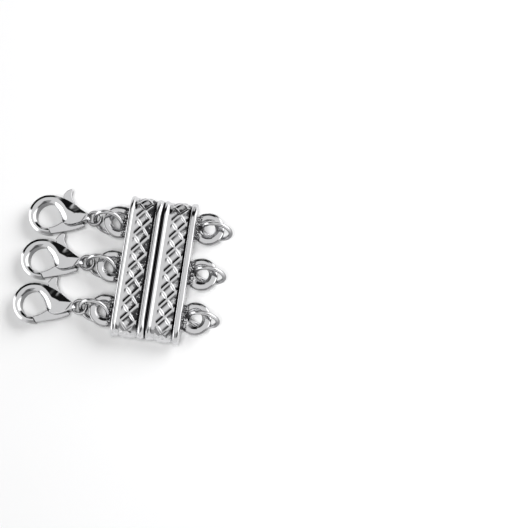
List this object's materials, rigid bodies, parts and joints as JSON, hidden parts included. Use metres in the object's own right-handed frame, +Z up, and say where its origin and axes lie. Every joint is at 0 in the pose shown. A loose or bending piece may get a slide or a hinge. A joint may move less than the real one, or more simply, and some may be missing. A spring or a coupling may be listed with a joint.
{
  "type": "magnetic necklace extender",
  "caption": "Magnetic clasp bar for layered necklaces: two lattice-cast bars meet face to face, lobster claws on jump rings on one side and end rings on the other.",
  "frame": {"origin": "middle of the whole piece from above, on the surface that it lies on", "axes": "+X from the claws to the end rings, +Y along the bars, +Z up from the surface"},
  "size_m": [0.0332, 0.023, 0.0051],
  "materials": {
    "cast_plate": "bright silver-tone plate over a casting, darker in the recesses",
    "claw_plate": "polished silver-tone plate",
    "wire_plate": "polished silver-tone plate on drawn wire",
    "magnet_plate": "satin nickel plate"
  },
  "bodies": {
    "claw_side": {"claw_side_bar": "cast_plate", "claw_side_magnet_1": "magnet_plate", "claw_side_magnet_2": "magnet_plate", "claw_side_magnet_3": "magnet_plate", "claw_jump_ring_1": "wire_plate", "claw_jump_ring_2": "wire_plate", "claw_jump_ring_3": "wire_plate", "claw_body_1": "claw_plate", "claw_body_2": "claw_plate", "claw_body_3": "claw_plate", "claw_pin_1": "claw_plate", "claw_pin_2": "claw_plate", "claw_pin_3": "claw_plate"},
    "ring_side": {"ring_side_bar": "cast_plate", "ring_side_magnet_1": "magnet_plate", "ring_side_magnet_2": "magnet_plate", "ring_side_magnet_3": "magnet_plate", "end_ring_1": "wire_plate", "end_ring_2": "wire_plate", "end_ring_3": "wire_plate"},
    "lever_1": {"claw_lever_1": "claw_plate"},
    "lever_2": {"claw_lever_2": "claw_plate"},
    "lever_3": {"claw_lever_3": "claw_plate"}
  },
  "joints": [
    {"name": "halves_apart", "type": "slide", "parent": "claw_side", "child": "ring_side", "axis": [1, 0, 0], "range_m": [0, 0.008]},
    {"name": "lever_1_open", "type": "hinge", "parent": "claw_side", "child": "lever_1", "pos_m": [-0.009, 0.00639, 0.00161], "axis": [0.0871, 0.0037, -0.9962], "range_deg": [0, 25], "stiffness_Nm_per_rad": 0.0002},
    {"name": "lever_2_open", "type": "hinge", "parent": "claw_side", "child": "lever_2", "pos_m": [-0.009, -0.00076, 0.00161], "axis": [0.0871, 0.0037, -0.9962], "range_deg": [0, 25], "stiffness_Nm_per_rad": 0.0002},
    {"name": "lever_3_open", "type": "hinge", "parent": "claw_side", "child": "lever_3", "pos_m": [-0.009, -0.00791, 0.00161], "axis": [0.0871, 0.0037, -0.9962], "range_deg": [0, 25], "stiffness_Nm_per_rad": 0.0002}
  ]
}
